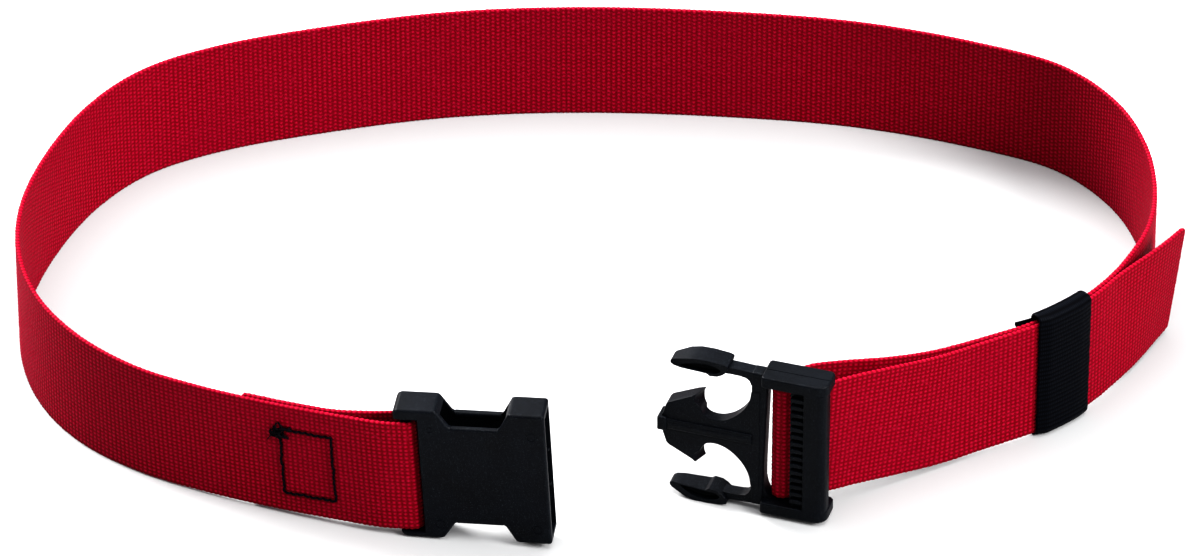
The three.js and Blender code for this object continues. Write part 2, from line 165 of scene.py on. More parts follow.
plug_matrix = Matrix.Translation(Vector(PLUG_PLACE) + Vector(SHIFT)) @ Matrix.Rotation(PLUG_YAW, 4, "Z")


def loop_point(angle, ahead=0.0):
    a = math.radians(angle)
    x = PLUG_BAR[0] + LOOP_RADIUS * math.cos(a) - ahead * math.sin(a)
    y = PLUG_BAR[1] + LOOP_RADIUS * math.sin(a) + ahead * math.cos(a)
    c, n = math.cos(PLUG_YAW), math.sin(PLUG_YAW)
    return PLUG_PLACE[0] + c * x - n * y, PLUG_PLACE[1] + n * x + c * y


def main_lift(s, total):
    left = total - s
    return (
        SOCKET_LIFT * np.maximum(0, 1 - s / SOCKET_LIFT_RUN) ** 2
        + KEEPER_LIFT * (1 - ease((left - 150) / 68))
        + (PLUG_LIFT - KEEPER_LIFT) * (1 - ease(left / 72))
    )


main = stations(
    smooth(
        [
            *MAIN_RUN,
            *arc(KEEPER_CENTRE, INNER_RADIUS, -27, -66, 6),
            *INNER_RUN,
            loop_point(LOOP_ENTER, -4),
            loop_point(LOOP_ENTER),
        ],
        0.8,
    ),
    main_lift,
    lambda s, total: -LEAN * (1 - ease((s - 95) / 60)),
)
MAIN_LENGTH = main.s[-1]

# The socket's own frame: X from the webbing bar to the mouth, Y through it and Z across the strap
socket_x = np.cross(main.across[0], main.width[0])
socket_y, socket_z = main.across[0], main.width[0]
socket_origin = (
    main.mid[0] - socket_x * SOCKET_BAR[0] + socket_y * (FOLD_RADIUS - SOCKET_BAR[1]) + socket_z * SOCKET_RISE
)
socket_matrix = Matrix(
    [[socket_x[i], socket_y[i], socket_z[i], socket_origin[i]] for i in range(3)] + [[0, 0, 0, 1]]
)

# Round the socket's bar and back along the inside of the strap
turn = np.radians(np.linspace(-90, 90, 25))[1:]
radial = np.outer(np.cos(turn), socket_x) + np.outer(np.sin(turn), socket_y)
bar_centre = socket_origin + socket_x * SOCKET_BAR[0] + socket_y * SOCKET_BAR[1] - socket_z * SOCKET_RISE
FOLD_LENGTH = math.pi * FOLD_RADIUS
under_s = np.arange(0.8, SEWN_END + 0.4, 0.8)
under_mid, under_width, under_across = main.at(under_s)
open_by = LAYER + (2 * FOLD_RADIUS - LAYER) * (1 - ease(under_s / 34))
back_part = main.s < SEAM
left_line = Line(
    np.concatenate(
        [
            SEAM - np.concatenate([[SEAM], main.s[back_part][::-1]]),
            SEAM + FOLD_RADIUS * (turn + math.pi / 2),
            SEAM + FOLD_LENGTH + under_s,
        ]
    ),
    np.vstack(
        [
            main.at(SEAM)[0],
            main.mid[back_part][::-1],
            bar_centre + radial * FOLD_RADIUS,
            under_mid + under_across * open_by[:, None],
        ]
    ),
    np.vstack(
        [main.at(SEAM)[1], main.width[back_part][::-1], np.tile(socket_z, (len(turn), 1)), under_width]
    ),
    np.vstack([main.at(SEAM)[2], main.across[back_part][::-1], -radial, -under_across]),
)
LEFT_LENGTH = left_line.s[-1]

# Round the plug's bar, back along the outside and past the keeper
loop_arc = [loop_point(a) for a in np.linspace(LOOP_ENTER, LOOP_LEAVE, 25)]
outer_arc = arc(KEEPER_CENTRE, OUTER_RADIUS, -63.5, -33, 5)
end_angle = math.radians(-33)
tail_ahead = np.array([-math.sin(end_angle), math.cos(end_angle)])
tail_out = np.array([math.cos(end_angle), math.sin(end_angle)])
outer_plan = smooth(
    [
        loop_point(LOOP_LEAVE),
        loop_point(LOOP_LEAVE, 7),
        loop_point(LOOP_LEAVE, 15),
        *OUTER_RUN,
        *outer_arc,
        outer_arc[-1] + TAIL_LENGTH / 2 * tail_ahead + 1.5 * tail_out,
        outer_arc[-1] + TAIL_LENGTH * tail_ahead + 1.5 * tail_out,
    ],
    0.8,
)
outer = stations(
    np.vstack([loop_arc[:-1], outer_plan]),
    lambda s, total: KEEPER_LIFT + (PLUG_LIFT - KEEPER_LIFT) * (1 - ease((s - 14) / 72)),
    lambda s, total: TAIL_LEAN * ease((s - total + 46) / 46),
)
front_part = main.s > SEAM
right_line = Line(
    np.concatenate([[0], main.s[front_part] - SEAM, MAIN_LENGTH - SEAM + outer.s[1:]]),
    np.vstack([main.at(SEAM)[0], main.mid[front_part], outer.mid[1:]]),
    np.vstack([main.at(SEAM)[1], main.width[front_part], outer.width[1:]]),
    np.vstack([main.at(SEAM)[2], main.across[front_part], outer.across[1:]]),
)
RIGHT_LENGTH = right_line.s[-1]


# ------------------------------------------------------------------ mesh helpers
def make_object(name, vertices, faces, metres=True):
    """A smooth-shaded mesh object whose faces look outwards. Vertices are in millimetres."""
    vertices = np.asarray(vertices, float)
    mesh = bpy.data.meshes.new(name)
    mesh.from_pydata((vertices * (MM if metres else 1)).tolist(), [], [list(f) for f in faces])
    mesh.validate()
    built = bmesh.new()
    built.from_mesh(mesh)
    if built.calc_volume(signed=True) < 0:
        bmesh.ops.reverse_faces(built, faces=built.faces)
        built.to_mesh(mesh)
    built.free()
    mesh.shade_smooth()
    made = bpy.data.objects.new(name, mesh)
    bpy.context.scene.collection.objects.link(made)
    return made


def ring_faces(rings, around):
    """Quads between closed rings of vertices, and a polygon over each end."""
    i, k = np.meshgrid(np.arange(rings - 1), np.arange(around), indexing="ij")
    a, b = i * around + k, i * around + (k + 1) % around
    quads = np.stack([a, b, b + around, a + around], axis=-1).reshape(-1, 4)
    last = (rings - 1) * around
    return [*quads.tolist(), list(range(around))[::-1], list(range(last, last + around))]


def set_vector(mesh, name, values):
    mesh.attributes.new(name, "FLOAT_VECTOR", "POINT").data.foreach_set(
        "vector", np.asarray(values, np.float32).ravel()
    )


# ------------------------------------------------------------------ webbing
ALONG, UP = 2.0, 1.78  # pitch of the weave along the webbing and up its width
ROWS = 27
VALLEY, PEAK = 0.74, 0.94  # the face's distance from the middle of the thickness, between and on knuckles
RIDGE = 0.07  # height of the filling yarns between the knuckles
SEAM_DEPTH = 0.34  # how far the stitching pulls the face in
EDGE_FACE = (24.62, 0.72)  # where the selvedge meets the face: its height and half its thickness
EDGE_TIP = 24.86  # height of the selvedge's outermost point


def sharp_ends(mesh, around, rings):
    """The flat cut ends don't share their shading with the faces beside them."""
    ends = (0, around * (rings - 1))
    for edge in mesh.edges:
        if any(all(end <= v < end + around for v in edge.vertices) for end in ends):
            edge.use_edge_sharp = True


def webbing(name, line, length, brick_until, seams=(), cut_corner=0.0):
    """Woven webbing: a knuckle of warp at each crossing, rope-like selvedges and a heat-cut end.

    The knuckles stand in a square grid on the outside and in a brick pattern on the inside of the loop.
    """
    rings = int(round(length / ALONG)) * 2 + 1
    s = np.linspace(0, length, rings)
    j = np.arange(rings)[:, None]
    k = np.arange(2 * ROWS + 1)[None, :]
    up = (k - ROWS) * UP / 2
    steady = (j > 0) * 1.0  # the ring where the two lengths meet has no unevenness, so that they match
    sides, phases = [], []
    for side in (1, -1):
        bricks = (s[:, None] < brick_until) & (side == 1)
        shifted = bricks & ((j // 2) % 2 == 1)
        crossing = (j % 2 == 1) & ((k + shifted) % 2 == 1)
        height = np.where(crossing, PEAK, VALLEY) + rng.normal(0, 0.025, crossing.shape) * steady
        # filling yarns show as low ridges up the width between the crossings
        height = height + np.where((j % 2 == 1) & ~crossing, RIDGE, 0)
        height = height + 0.035 * np.sin(up * 0.9 + 0.3 * side) * np.sin(s[:, None] * 0.11 + side) * steady
        for low_s, high_s, low_h, high_h, which in seams:
            if which != side:
                continue
            ds = np.maximum(np.maximum(low_s - s, s - high_s), 0)[:, None]
            dh = np.maximum(np.maximum(low_h - up, up - high_h), 0)
            edge_s = np.minimum(abs(s - low_s), abs(s - high_s))[:, None] + dh
            edge_h = np.minimum(abs(up - low_h), abs(up - high_h)) + ds
            near = np.minimum(edge_s, edge_h)
            height = height - SEAM_DEPTH * np.exp(-((near / 0.8) ** 2))
            height = height + 0.1 * np.exp(-(((near - 2.0) / 0.8) ** 2))
        spread = np.broadcast_to(up, crossing.shape) + rng.normal(0, 0.03, crossing.shape) * steady
        sides.append((spread, side * height))
        half_step = np.where(j % 2 == 1, shifted * 0.5, 0.25 * bricks)
        phases.append(spread / UP + half_step)
    rope = np.where(j % 2 == 1, 1.0, 0.0) + rng.normal(0, 0.15, (rings, 1)) * steady
    face_up, face_out = EDGE_FACE[0] + 0.08 * rope, EDGE_FACE[1] + 0.17 * rope
    edge_up = np.hstack([face_up, EDGE_TIP + 0.2 * rope, face_up])
    edge_out = np.hstack([face_out, 0 * rope, -face_out])
    up_all = np.hstack([sides[0][0], edge_up, sides[1][0][:, ::-1], -edge_up[:, ::-1]])
    out_all = np.hstack([sides[0][1], edge_out, sides[1][1][:, ::-1], edge_out[:, ::-1]])
    phase_all = np.hstack([phases[0], edge_up / UP, phases[1][:, ::-1], -edge_up[:, ::-1] / UP])
    around = up_all.shape[1]
    # heat-cut ends are thinner and their corners are rounded
    to_end = np.abs(length - s)[:, None]
    out_all = out_all * (1 - 0.22 * np.exp(-to_end / 0.8))
    if cut_corner:
        d = np.clip(cut_corner - to_end, 0, cut_corner)
        up_all = up_all * (1 - (cut_corner - np.sqrt(cut_corner**2 - d**2)) / (WEB_WIDTH / 2))
    ragged = np.where(to_end < 0.5, 1, 0) * rng.normal(0, 0.13, (rings, around))
    s_all = np.clip(s[:, None] + ragged, 0, length + 1)
    vertices = line.point(s_all, up_all, out_all).reshape(-1, 3)
    made = make_object(name, vertices, ring_faces(rings, around))
    sharp_ends(made.data, around, rings)
    # the shader reads the weave's turns along and up the webbing
    turns = s_all / length * (rings - 1) / 2
    set_vector(made.data, "weave", np.stack([turns, phase_all, 0 * turns], axis=-1).reshape(-1, 3))
    return made


seam_low, seam_high = SEAM - STITCH_TO, SEAM - STITCH_FROM
under_low, under_high = SEAM + FOLD_LENGTH + STITCH_FROM, SEAM + FOLD_LENGTH + STITCH_TO
webbing_left = webbing(
    "webbing_left",
    left_line,
    LEFT_LENGTH,
    brick_until=SEAM,
    seams=[
        (seam_low, seam_high, STITCH_LOW, STITCH_HIGH, -1),
        (under_low, under_high, STITCH_LOW, STITCH_HIGH, -1),
    ],
    cut_corner=1.2,
)
webbing_right = webbing(
    "webbing_right", right_line, RIGHT_LENGTH, brick_until=MAIN_LENGTH - SEAM, cut_corner=3.0
)


# ------------------------------------------------------------------ thread
def tube(path, radius, sides=8):
    """The vertices and faces of a round thread along points. Its radius may vary from point to point."""
    path = np.asarray(path, float)
    radius = np.broadcast_to(np.asarray(radius, float), (len(path),))
    tangent = unit(np.gradient(path, axis=0))
    normal = unit(np.cross(tangent[0], [0.3, 0.2, 0.9]))
    points = []
    for p, t, r in zip(path, tangent, radius):
        normal = unit(normal - t * np.dot(normal, t))
        other = np.cross(t, normal)
        for a in np.linspace(0, 2 * math.pi, sides, endpoint=False):
            points.append(p + r * (normal * math.cos(a) + other * math.sin(a)))
    return points, ring_faces(len(path), sides)


def join(name, parts):
    vertices, faces = [], []
    for points, polygons in parts:
        base = len(vertices)
        vertices += list(points)
        faces += [[base + i for i in f] for f in polygons]
    return make_object(name, vertices, faces)


THREAD_RADIUS = 0.5
TUFT_RADIUS = 0.36


def stitch_run(to_point, start, stop, pitch, lift=0.5, wander=0.12):
    """One line of lock stitches: each arches over the surface and dips into a needle hole."""
    (s0, h0), (s1, h1) = start, stop
    count = max(1, int(round(math.dist(start, stop) / pitch)))
    per = 10
    t = np.linspace(0, 1, count * per + 1)
    phase = (t * count) % 1
    phase[-1] = 0
    arch = np.sin(math.pi * phase) ** 0.6
    drift = np.interp(t, np.linspace(0, 1, count + 1), rng.normal(0, wander, count + 1))
    across = np.array([h0 - h1, s1 - s0]) / math.dist(start, stop)
    s = s0 + (s1 - s0) * t + across[0] * drift
    h = h0 + (h1 - h0) * t + across[1] * drift
    path = to_point(s, h, -0.35 + (lift + 0.35) * arch)
    return tube(path, THREAD_RADIUS * (0.72 + 0.28 * arch))


def box_stitch(name, to_point, knot):
    corners = [
        (STITCH_FROM, STITCH_LOW),
        (STITCH_FROM, STITCH_HIGH),
        (STITCH_TO, STITCH_HIGH),
        (STITCH_TO, STITCH_LOW),
    ]
    sides = zip(corners, corners[1:] + corners[:1])
    parts = [stitch_run(to_point, a, b, 2.5, lift=0.55, wander=0.16) for a, b in sides]
    # back-tacks over the corner where the seam starts and ends
    corner = (STITCH_TO, STITCH_HIGH)
    along, down = (STITCH_TO - 4.6, STITCH_HIGH + 0.5), (STITCH_TO + 0.4, STITCH_HIGH - 4.8)
    for a, b in ((corner, along), (along, corner), (corner, down)):
        parts.append(stitch_run(to_point, a, b, 2.3, lift=0.8, wander=0.3))
    if knot:
        for i in range(15):
            a = rng.uniform(0, 2 * math.pi)
            length = rng.uniform(2.4, 5.4)
            c = np.array([STITCH_TO + rng.uniform(-2.2, 2.8), STITCH_HIGH + rng.uniform(-3.2, 1.4)])
            t = np.linspace(-0.5, 0.5, 13)
            s = c[0] + t * length * math.cos(a) + 0.5 * np.sin(t * 5 + i)
            h = c[1] + t * length * math.sin(a) * 0.7 + 0.4 * np.cos(t * 6 + i)
            out = 0.35 + rng.uniform(0.6, 1.4) * np.cos(t * 3.0)
            parts.append(tube(to_point(s, h, out), TUFT_RADIUS, 7))
        for reach, drop in ((5.2, 5.4), (4.0, 3.2), (3.4, 1.4)):
            t = np.linspace(0, 1, 15)
            s = STITCH_TO + reach * t
            h = STITCH_HIGH - 0.5 - drop * t**1.5
            parts.append(tube(to_point(s, h, 0.5 + 0.5 * np.sin(3 * t)), 0.26 - 0.08 * t, 7))
    return join(name, parts)


thread_front = box_stitch(
    "box_stitch_thread_front",
    lambda s, h, out: main.point(s, h, -(WEB_THICK / 2 - 0.1) - out),
    knot=True,
)
thread_back = box_stitch(
    "box_stitch_thread_back",
    lambda s, h, out: left_line.point(SEAM + FOLD_LENGTH + s, h, -(WEB_THICK / 2 - 0.1) - out),
    knot=False,
)


# ------------------------------------------------------------------ keeper
KEEPER_WIDTH, KEEPER_THICK = 25, 1.1
RIB = 1.9
KEEPER_MID = np.array([*KEEPER_CENTRE, 0]) + SHIFT
KEEPER_FACE = 1.75  # from the webbing's middle to the ribbon's middle


def keeper_ribbon():
    """Ribbed ribbon round both layers: a rounded loop in section, with plain borders at its edges."""
    low, high = KEEPER_LIFT - 0.85, KEEPER_LIFT + WEB_WIDTH + 2.85
    near, far = OUTER_RADIUS + KEEPER_FACE, INNER_RADIUS - KEEPER_FACE
    centre_r = (near + far) / 2
    half = (near - far) / 2
    side = np.linspace(0, 1, 105)
    cap = np.radians(np.linspace(0, 180, 19))[1:-1]
    rounding = 2.4
    straight = high - low - 2 * rounding
    r = np.concatenate(
        [near + 0 * side, centre_r + half * np.cos(cap), far + 0 * side, centre_r - half * np.cos(cap)]
    )
    z = np.concatenate(
        [
            low + rounding + straight * side,
            high - rounding + (rounding + 0.5) * np.sin(cap),
            high - rounding - straight * side,
            low + rounding - (rounding + 0.2) * np.sin(cap),
        ]
    )
    closed = np.stack([np.append(r, r[0]), np.append(z, z[0])], axis=1)
    length = np.concatenate([[0], np.cumsum(np.linalg.norm(np.diff(closed, axis=0), axis=1))])
    rings = int(round(length[-1] / RIB)) * 6
    at = np.linspace(0, length[-1], rings, endpoint=False)
    r, z = np.interp(at, length, closed[:, 0]), np.interp(at, length, closed[:, 1])
    dr, dz = np.gradient(np.append(r, r[0]))[:-1], np.gradient(np.append(z, z[0]))[:-1]
    dr[0], dz[0] = r[1] - r[-1], z[1] - z[-1]
    tangent = unit(np.stack([dr, dz], axis=1))
    normal = np.stack([tangent[:, 1], -tangent[:, 0]], axis=1)
    rib = 0.5 + 0.5 * np.cos(2 * math.pi * at / length[-1] * (rings // 6))
    across = np.concatenate([[-12.5, -12.3, -11.8], np.arange(-11, 11.6, 0.9), [12, 12.35, 12.5]])
    edge = np.clip((12.5 - abs(across)) / 0.6, 0, 1)
    bump = ease((across + 9.6) / 1.2) * ease((11.2 - across) / 1.0)
    bulge = 1.15 * ease((across + 12.5) / 5.0) * (1 - 0.35 * ease((across - 6) / 6.5))
    front = np.clip((r - centre_r) / half, 0, 1)
    front = ease(front * 1.3)
    points = []
    for face in (1, -1):
        w, e, b, g = across[::face], edge[::face], bump[::face], bulge[::face]
        thick = KEEPER_THICK / 2 * (0.35 + 0.65 * e[None, :] ** 0.5)
        relief = 0.16 * (rib[:, None] - 0.5) * b[None, :]
        offset = face * (thick + relief)
        rr = r[:, None] + normal[:, :1] * offset + g[None, :] * front[:, None]
        zz = z[:, None] + normal[:, 1:] * offset
        angle = math.radians(KEEPER_ANGLE) + (w[None, :] + 0.12 * np.sin(at[:, None] * 0.9)) / OUTER_RADIUS
        p = np.stack([rr * np.cos(angle), rr * np.sin(angle), zz], axis=-1) + KEEPER_MID
        points.append((p, np.broadcast_to(w[None, :], rr.shape)))
    grid = np.concatenate([points[0][0], points[1][0]], axis=1)
    width = np.concatenate([points[0][1], points[1][1]], axis=1)
    around = grid.shape[1]
    i, k = np.meshgrid(np.arange(rings), np.arange(around), indexing="ij")
    a, b = i * around + k, i * around + (k + 1) % around
    c, d = ((i + 1) % rings) * around + (k + 1) % around, ((i + 1) % rings) * around + k
    faces = np.stack([a, b, c, d], axis=-1).reshape(-1, 4).tolist()
    made = make_object("keeper_ribbon", grid.reshape(-1, 3), faces)
    ribs = np.broadcast_to((at / length[-1] * (rings // 6))[:, None], width.shape)
    set_vector(made.data, "ribs", np.stack([ribs, width, 0 * width], axis=-1).reshape(-1, 3))
    return made


def keeper_point(across, z, depth):
    """A point on the keeper's inner side: place along the strap, height, and depth to the loop's middle."""
    angle = math.radians(KEEPER_ANGLE) + np.asarray(across) / OUTER_RADIUS
    r = INNER_RADIUS - KEEPER_FACE - KEEPER_THICK / 2 - np.asarray(depth)
    x, y, z = np.broadcast_arrays(r * np.cos(angle), r * np.sin(angle), z)
    return np.stack([x, y, z], axis=-1) + KEEPER_MID


def keeper_lap():
    """The ribbon's sewn-down end on the inside, with one frayed corner that pokes out past the keeper."""
    heights = np.linspace(11, 50.5, 250)
    columns = np.linspace(-11.9, 11.9, 22)
    rib = 0.5 + 0.5 * np.cos(2 * math.pi * heights / RIB)
    most = 7.4
    poke = most * ease((heights - 42) / 7.5)
    points = []
    for face in (1, -1):
        w = columns[::face]
        share = (12 - w) / 24
        u = w[None, :] - poke[:, None] * share[None, :] ** 3
        z = heights[:, None] + 1.6 * poke[:, None] / most * share[None, :] ** 3
        depth = 0.82 + face * (0.36 + 0.12 * (rib[:, None] - 0.5)) + 0 * u
        depth = depth - 0.5 * ease((heights[:, None] - 46) / 5)
        points.append(keeper_point(u, z, depth))
    grid = np.concatenate(points, axis=1)
    made = make_object("keeper_lap_ribbon", grid.reshape(-1, 3), ring_faces(*grid.shape[:2]))
    width = np.concatenate([columns, columns[::-1]])[None, :] + 0 * heights[:, None]
    ribs = heights[:, None] / RIB + 0 * width
    set_vector(made.data, "ribs", np.stack([ribs, width, 0 * width], axis=-1).reshape(-1, 3))
    return made


def keeper_tack(name, z):
    """Two runs of stitches across the lap, one a little aslant."""
    on_lap = lambda s, h, out: keeper_point(s, h, 1.15 + out)
    runs = [stitch_run(on_lap, (-11, z), (11, z + tilt), 2.4, lift=0.42) for tilt in (0.0, 0.9)]
    return join(name, runs)


ribbon = keeper_ribbon()
lap = keeper_lap()
tack_low = keeper_tack("keeper_tack_thread_low", 15.2)
tack_high = keeper_tack("keeper_tack_thread_high", 38.2)


# ------------------------------------------------------------------ moulded solids
def prism(outline, low, high, along="Y"):
    """A flat outline given depth: points are (x, z) with depth along Y, or (x, y) with height along Z."""
    n = len(outline)
    put = (lambda p, d: (p[0], d, p[1])) if along == "Y" else (lambda p, d: (p[0], p[1], d))
    vertices = [put(p, low) for p in outline] + [put(p, high) for p in outline]
    sides = [[i, (i + 1) % n, n + (i + 1) % n, n + i] for i in range(n)]
    return make_object("solid", vertices, [*sides, list(range(n))[::-1], list(range(n, 2 * n))], metres=False)


def block(x0, x1, y0, y1, z0, z1):
    return prism([(x0, z0), (x1, z0), (x1, z1), (x0, z1)], y0, y1)


def disc(x, z, radius, sides=32):
    a = np.linspace(0, 2 * math.pi, sides, endpoint=False)
    return [(x + radius * math.cos(t), z + radius * math.sin(t)) for t in a]


def apply_modifiers(obj):
    graph = bpy.context.evaluated_depsgraph_get()
    mesh = bpy.data.meshes.new_from_object(obj.evaluated_get(graph), depsgraph=graph)
    obj.modifiers.clear()
    obj.data = mesh
    return obj


def combine(target, tools, operation="UNION"):
    for tool in tools:
        step = target.modifiers.new("step", "BOOLEAN")
        step.operation = operation
        step.solver = "EXACT"
        step.object = tool
        apply_modifiers(target)
        bpy.data.objects.remove(tool)
    return target


def merge(objects):
    """One object holding several meshes that don't touch each other."""
    built = bmesh.new()
    for o in objects:
        built.from_mesh(o.data)
        bpy.data.objects.remove(o)
    mesh = bpy.data.meshes.new("merged")
    built.to_mesh(mesh)
    built.free()
    made = bpy.data.objects.new("merged", mesh)
    bpy.context.scene.collection.objects.link(made)
    return made


def soften(obj, width, segments=3, angle=35):
    bevel = obj.modifiers.new("soften", "BEVEL")
    bevel.width = width
    bevel.segments = segments
    bevel.limit_method = "ANGLE"
    bevel.angle_limit = math.radians(angle)
    bevel.use_clamp_overlap = True
    bevel.miter_outer = "MITER_ARC"
    return apply_modifiers(obj)


def tidy(obj):
    """Merges stray points and flat faces left by the cuts."""
    built = bmesh.new()
    built.from_mesh(obj.data)
    bmesh.ops.remove_doubles(built, verts=built.verts, dist=0.01)
    bmesh.ops.dissolve_limit(built, angle_limit=math.radians(1), verts=built.verts, edges=built.edges)
    built.to_mesh(obj.data)
    built.free()
    return obj


def settle(obj, name, matrix, sharp=38):
    """Names the finished solid, turns it to metres and puts it at its place in the row frame."""
    obj.name = obj.data.name = name
    obj.data.transform(matrix)
    obj.data.transform(Matrix.Scale(MM, 4))
    obj.data.shade_smooth()
    obj.data.set_sharp_from_angle(angle=math.radians(sharp))
    weighted = obj.modifiers.new("even_shading", "WEIGHTED_NORMAL")
    weighted.keep_sharp = True
    return apply_modifiers(obj)


mirror = lambda points: [(x, -z) for x, z in points][::-1]


def spline(points, step=0.6):
    """A smooth run through outline points."""
    return [tuple(p) for p in smooth(points, step)]


# ------------------------------------------------------------------ socket
SOCKET_LENGTH, SOCKET_WIDTH, SOCKET_FLARE, SOCKET_THICK = 57, 60, 0.6, 12.5
SOCKET_WALL, WINDOW_DEPTH = 2.0, 8
FRAME_END = 9.3  # the end of the opening that the webbing passes through
PIN_MARKS = ((13.8, 21.4, 1.35), (52, 20.5, 2.0), (15.2, -22.9, 2.0), (51.9, -23.2, 2.0))
MARK_DEPTH = 0.14


def build_socket():
    """A flat box, open at the mouth, with a window in each narrow side and the webbing's bar behind."""
    half = lambda x: (SOCKET_WIDTH + SOCKET_FLARE * x / SOCKET_LENGTH) / 2
    depth, thick, wall, inside = WINDOW_DEPTH, SOCKET_THICK, SOCKET_WALL, 27.6
    edge = [
        (0, half(0) - 2.0),
        (0.6, half(0) - 0.7),
        (2.0, half(2)),
        (15.2, half(15.2)),
        (16.4, half(16.4) - 0.5),
        (20.6, half(20) - depth + 0.9),
        (22.0, half(22) - depth),
        (38.6, half(39) - depth),
        (39.9, half(40) - depth + 0.9),
        (43.4, half(43.6) - 0.4),
        (44.6, half(44.8)),
        (SOCKET_LENGTH, half(SOCKET_LENGTH)),
    ]
    body = prism([*edge, *mirror(edge)], 0, thick)
    soften(body, 1.25, 4, 50)
    cavity = block(FRAME_END + wall, SOCKET_LENGTH + 3, wall, thick - wall, -inside, inside)
    opening = block(-1, FRAME_END, -1, thick + 1, -27.7, 25.6)
    combine(body, [cavity, opening], "DIFFERENCE")
    tidy(body)
    soften(body, 0.4, 2, 55)
    # webbing bar, guide ribs at the mouth and the rounded rims of the windows
    parts = [prism(disc(*SOCKET_BAR, SOCKET_BAR_RADIUS, 28), -27, 27, "Z")]
    for z in (-8, 8):
        for y0, y1 in ((1.9, 4.1), (8.4, 10.6)):
            parts.append(block(16, 56.4, y0, y1, z - 0.5, z + 0.5))
    for side in (1, -1):
        for y0, y1 in ((0, 2.6), (thick - 2.6, thick)):
            rim = [(x, side * z) for x, z in ((21.0, 19.9), (39.6, 19.9), (39.6, 22.5), (21.0, 22.5))]
            parts.append(soften(prism(rim, y0, y1), 0.9, 3))
    combine(body, parts)
    # ejector-pin marks on both faces
    marks = []
    for x, z, r in PIN_MARKS:
        for y0, y1 in ((-1, MARK_DEPTH), (thick - MARK_DEPTH, thick + 1)):
            core = prism(disc(x, z, r - 0.35), -2, 15)
            marks.append(combine(prism(disc(x, z, r), y0, y1), [core], "DIFFERENCE"))
    combine(body, [merge(marks)], "DIFFERENCE")
    return settle(body, "buckle_socket", socket_matrix)


socket = build_socket()

# ------------------------------------------------------------------ plug
TONGUE_WING = [(-40.6, 2.4), (-39.4, 3), (-37.6, 8.8), (-36.6, 9.8), (-27, 14.4), (-23.6, 15.6)]
TONGUE_CURVE = [
    (-24.3, 13.8), (-24.4, 12), (-24.2, 10), (-23.2, 7.6), (-21.6, 6.1), (-19, 5.5), (-15.9, 5.9),
    (-12, 7.9), (-8, 11.8), (-5.4, 16.6), (-4.4, 21.8),
]  # fmt: skip
END_BAR = [
    (12.2, 5.1), (11.1, 4), (11.1, 2.5), (12.3, 2.1), (15.9, 2.1), (16.4, 1.8), (16.6, 0.5), (17.1, 0.1),
    (22.2, 0.1), (23.7, 0.6), (24.9, 1.9), (25.4, 3.4), (25.4, 6), (24.8, 6.5), (14.8, 6.5), (12.7, 5.9),
]  # fmt: skip
TEETH, TOOTH_PITCH, TOOTH_HALF = 15, 3.3, 0.85
PLUG_HALF, RAIL_INSIDE, SLOT_HALF = 31.2, 26.4, 26.9
PLUG_MIDDLE = 6.3  # half-way through the plug's thickness
PRONG_ROOT, PRONG_BLEND_END, PRONG_LINE = -4.6, -15.5, 28.6
PRONG_HEAD = [
    (-36.3, 27.6), (-36.3, 28.6), (-35.4, 29.6), (-30, 31.8), (-26, 32.6), (-21, 32.7), (-15, 32.1), (-13.5, 31.6),
    (-13.3, 31), (-13.8, 29), (-15.4, 27.4), (-17.4, 26.3), (-20.4, 25.9), (-21.7, 26.9), (-32, 26.7), (-35, 26.8),
]  # fmt: skip
PRONG_ARM = [
    (-15.5, 27.2), (-12.5, 27.4), (-9, 27.3), (-6.8, 26.9), (-5.4, 25.8), (-4.7, 24.1), (-4, 23.3), (-3.4, 23.3),
    (-3.4, 29.9), (-9, 30.2), (-15.5, 30.4),
]  # fmt: skip
PRONG_POCKET = [
    (-32.6, 27.4), (-30, 29.2), (-26.5, 30.6), (-21.4, 31.1), (-17.2, 30.2), (-15.8, 28.9), (-18.2, 27.4),
    (-26, 27.2),
]  # fmt: skip


def rail_outline():
    """The rail from above: square at the front, and rounded over at the end bar."""
    corners = ((1.4, 1.4, 1.4, 180), (21.2, 4.6, 4.6, 270), (23.4, 10.3, 2.4, 0), (1.4, 11.3, 1.4, 90))
    outline = []
    for cx, cy, r, start in corners:
        for a in np.radians(np.linspace(start, start + 90, 7)):
            outline.append((cx + r * math.cos(a), cy + r * math.sin(a)))
    return outline


